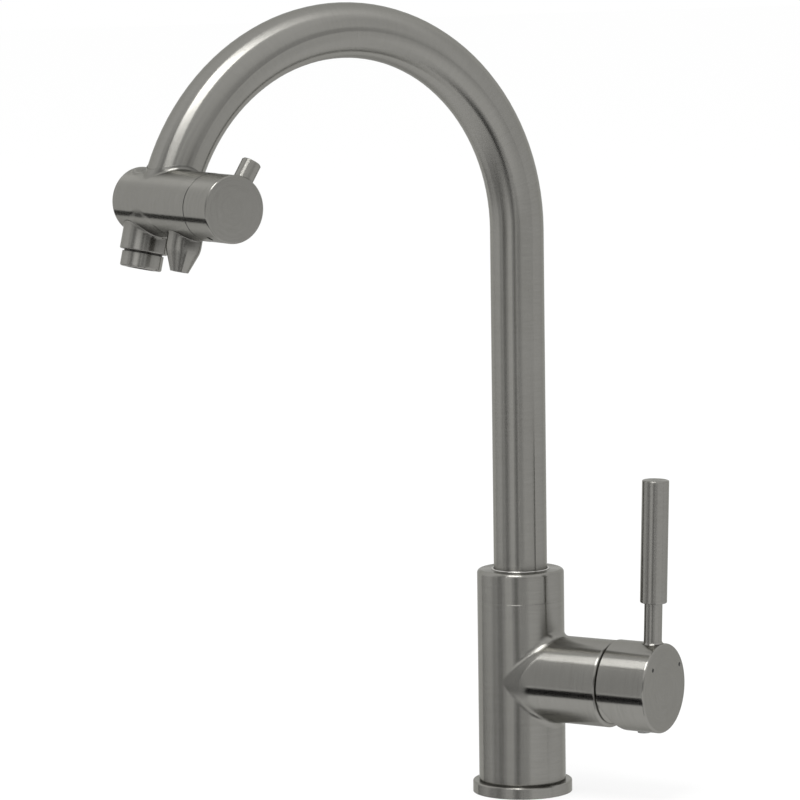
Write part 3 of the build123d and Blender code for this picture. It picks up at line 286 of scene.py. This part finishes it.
def mottled(name, dark, light, roughness, metallic=0.0, density=260.0, bump=0.15, coat=0.0):
    """Plastic, rubber, ceramic or turned brass: a fine two-tone grain with a little relief.

    density is the grains per metre, roughly.
    """
    grain_tone, cloud_tone = 0.6, 0.4
    cloud_width = 12            # of a cloud, in grains
    rough_swing = 0.2           # of the roughness with the clouds
    relief_depth = 0.0001
    material = bpy.data.materials.new(name)
    n = Nodes(material)
    spot = n.add("ShaderNodeTexCoord").outputs["Object"]
    grain = n.noise(spot, density, 4.0)
    cloud = n.noise(spot, density / cloud_width, 2.0)
    tone = n.math("ADD", n.math("MULTIPLY", grain, grain_tone), n.math("MULTIPLY", cloud, cloud_tone))
    colour = n.ramp(tone, dark, light)
    sharp = n.math("ADD", n.math("MULTIPLY", n.math("SUBTRACT", cloud, 0.5), rough_swing), roughness)
    relief = n.add("ShaderNodeBump", {"Height": grain, "Strength": bump, "Distance": relief_depth})
    shader = n.add("ShaderNodeBsdfPrincipled", {
        "Base Color": colour, "Metallic": metallic, "Roughness": sharp, "Coat Weight": coat,
        "Normal": relief.outputs[0],
    })
    n.surface(shader)
    return material


def wear(node_names, material):
    """Give CAD nodes their material."""
    for name in node_names:
        piece = nodes[name]
        piece.data.materials.clear()
        piece.data.materials.append(material)


def dress_steel():
    """Brushed pieces, each with its lines round its own axis."""
    foot = (0, 0, 0)
    branch = (branch_foot, branch_dir, branch_r)
    body_steel = brushed("body_steel", foot, up, column_r, [branch], lag=0.0036, edge=0.0007,
                         joint_s=branch_joint_s)
    ring_tones = {"dark": (0.5, 0.49, 0.47), "light": (0.6, 0.59, 0.57)}
    wear(["tap_body", "branch_sleeve"], body_steel)
    wear(["top_collar"], brushed("collar_steel", foot, up))
    wear(["base_flange"], brushed("flange_steel", foot, up))
    wear(["collar_ring"], brushed("ring_steel", foot, up, roughness=0.18, edge=0.0001, **ring_tones))
    wear(["spout_tube"], brushed("spout_steel", arch=True))
    outlet_point = head_centre + head_dir * outlet_s
    outlet = (outlet_point, nozzle_dir, outlet_r)
    nozzle = (head_centre + head_dir * nozzle_s, nozzle_dir, nozzle_r)
    neck = (head_centre, end_dir, tube_r)
    head_forms = [outlet, nozzle, neck]
    # The head and the aerator get painted shade in their corners and creases
    wear(["head_body"], brushed("head_steel", head_centre, head_dir, head_r, head_forms, corners=True))
    wear(["aerator_housing"], brushed("aerator_steel", outlet_point, nozzle_dir, corners=True))
    wear(["filter_knob"], brushed("knob_steel", head_centre, head_dir, edge=0.0001, flat_end=True))
    wear(["knob_peg"], brushed("peg_steel", head_centre + head_dir * peg_s, peg_dir))
    wear(["lever_hub"], brushed("hub_steel", branch_foot, branch_dir, flat_end=True))
    wear(["dome_cover"], brushed("dome_steel", branch_foot, branch_dir, roughness=0.2))
    wear(["lever_pin", "lever_grip"], brushed("lever_steel", lever_foot, lever_dir))


def dress_rest():
    """Brass, rubber, ceramic and plastic pieces."""
    brass = mottled("brass", (0.52, 0.36, 0.14), (0.66, 0.48, 0.22), 0.34, metallic=1.0, bump=0.08)
    rubber = mottled("rubber", (0.012, 0.012, 0.012), (0.03, 0.03, 0.03), 0.72, bump=0.3)
    ceramic = mottled("ceramic", (0.76, 0.76, 0.73), (0.86, 0.86, 0.84), 0.24, bump=0.04, coat=0.3)
    white = mottled("white_plastic", (0.7, 0.7, 0.67), (0.8, 0.8, 0.78), 0.46)
    grey = mottled("grey_plastic", (0.2, 0.2, 0.195), (0.28, 0.28, 0.27), 0.5)
    hose = mottled("hose_plastic", (0.6, 0.64, 0.67), (0.72, 0.76, 0.79), 0.38)
    screw = mottled("screw_steel", (0.2, 0.2, 0.2), (0.32, 0.32, 0.32), 0.36, metallic=1.0)
    dot = mottled("dot_grey", (0.008, 0.008, 0.007), (0.016, 0.015, 0.014), 0.6, density=900.0,
                  bump=0.05)
    wear(["spout_bush", "cartridge_nut", "filter_inlet_nipple", "valve_body", "valve_spindle"], brass)
    wear(["base_gasket", "hose_seal", "port_seals", "spout_orings", "aerator_seal", "valve_seal",
          "spindle_oring"], rubber)
    wear(["fixed_disc", "moving_disc", "valve_fixed_disc", "valve_moving_disc"], ceramic)
    wear(["glide_ring", "cartridge_base", "cartridge_housing", "cartridge_rotor", "disc_carrier",
          "nozzle_insert"], white)
    wear(["aerator_insert", "hub_plug"], grey)
    wear(["filter_hose"], hose)
    wear(["stem_pin", "cartridge_stem", "grub_screw", "knob_grub"], screw)
    wear(["left_dot", "right_dot"], dot)


# Studio
def make_floor():
    """Pale floor that stays white to the camera and keeps a soft shadow."""
    half = 12               # of its side, in metres
    white_share = 0.8       # of pure white in what the camera sees
    corners = [(-half, -half, 0), (half, -half, 0), (half, half, 0), (-half, half, 0)]
    mesh = bpy.data.meshes.new("floor")
    mesh.from_pydata(corners, [], [(0, 1, 2, 3)])
    floor = bpy.data.objects.new("floor", mesh)
    scene.collection.objects.link(floor)
    material = bpy.data.materials.new("floor_paper")
    n = Nodes(material)
    paper = n.add("ShaderNodeBsdfDiffuse", {"Color": (0.96, 0.96, 0.96, 1)})
    glow = n.add("ShaderNodeEmission", {"Color": (1, 1, 1, 1), "Strength": 1.0})
    seen = n.add("ShaderNodeLightPath").outputs["Is Camera Ray"]
    share = n.math("MULTIPLY", seen, white_share)
    n.surface(n.add("ShaderNodeMixShader", {0: share, 1: paper.outputs[0], 2: glow.outputs[0]}))
    mesh.materials.append(material)
    floor.visible_glossy = False


studio_z = 0.15         # height of the cards' centre
aim_z = 0.2             # height that the light is aimed at


def toward(turn, tilt):
    """Direction at an azimuth and an elevation, in radians. Azimuth 0 is +X and 90 degrees is +Y."""
    return Vector((cos(turn) * cos(tilt), sin(turn) * cos(tilt), sin(tilt)))


def card(name, azimuth, elevation, wide, high, level, reach=3.0, rise=0.0, lowest=0.0):
    """A curved studio card round the tap: its middle in degrees, its size in degrees, its brightness.

    Only reflections see it. With a rise it is lowest at one azimuth and stands that much higher a
    quarter turn away.
    """
    step_degrees = 3
    steps = max(2, int(wide / step_degrees))
    points, faces = [], []
    for row in (-0.5, 0.5):
        for column in range(steps + 1):
            turn = radians(azimuth + (column / steps - 0.5) * wide)
            tilt = radians(elevation + row * high + rise * (1 - cos(turn - radians(lowest))))
            points.append(toward(turn, tilt) * reach)
    for column in range(steps):
        faces.append((column, column + 1, steps + 2 + column, steps + 1 + column))
    mesh = bpy.data.meshes.new(name)
    mesh.from_pydata(points, [], faces)
    piece = bpy.data.objects.new(name, mesh)
    piece.location = (0, 0, studio_z)
    scene.collection.objects.link(piece)
    material = bpy.data.materials.new(name)
    n = Nodes(material)
    n.surface(n.add("ShaderNodeEmission", {"Color": (level, level, level, 1), "Strength": 1.0}))
    mesh.materials.append(material)
    piece.visible_camera = False
    piece.visible_diffuse = False
    piece.visible_shadow = False
    piece.visible_transmission = False


def make_light(name, azimuth, elevation, wide, high, power, reach):
    """Soft light aimed at the middle of the tap: angles in degrees, size in metres, power in watts."""
    data = bpy.data.lights.new(name, "AREA")
    data.shape = "RECTANGLE"
    data.size, data.size_y = wide, high
    data.energy = power
    light = bpy.data.objects.new(name, data)
    way = toward(radians(azimuth), radians(elevation))
    light.location = way * reach + Vector((0, 0, aim_z))
    light.rotation_mode = "QUATERNION"
    light.rotation_quaternion = way.to_track_quat("Z", "Y")
    scene.collection.objects.link(light)


def make_world():
    """White surroundings at a plain level."""
    world = bpy.data.worlds.new("studio")
    scene.world = world
    n = Nodes(world)
    white = n.add("ShaderNodeBackground", {"Color": (1, 1, 1, 1), "Strength": 1.0})
    n.surface(white, "ShaderNodeOutputWorld")


make_camera()
dress_steel()
dress_rest()
make_floor()
make_world()
make_light("key", -66, 63, 2.2, 1.55, 88, reach=4.2)
card("flag_front", -78, -29, 90, 17, 0.004, reach=2.6, rise=12.3, lowest=-65)
card("flag_left", -141, -28, 42, 9, 0.004, reach=2.6, rise=12.3, lowest=-65)
card("band_left", -96, 14, 38, 58, 0.7, reach=2.9)
card("band_left_core", -92, 14, 14, 58, 0.42, reach=2.8)
card("band_mid", -48, 4, 20, 50, 0.6, reach=2.9)
card("band_mid_core", -47, 4, 9, 50, 0.3, reach=2.8)
card("camera_dark", -29, 9, 15, 16, 0.08, reach=2.7)
card("camera_low", -26, -42, 24, 34, 0.04, reach=2.7)
card("front", 0, 6, 70, 22, 0.55)
card("band_right", 38, 14, 8, 60, 0.6, reach=2.9)
card("right_dim", 68, 12, 60, 70, 0.84)
card("left_dim", -140, 5, 50, 60, 0.95)
card("low_back", 160, -42, 50, 26, 0.75)

scene.view_settings.view_transform = "Standard"
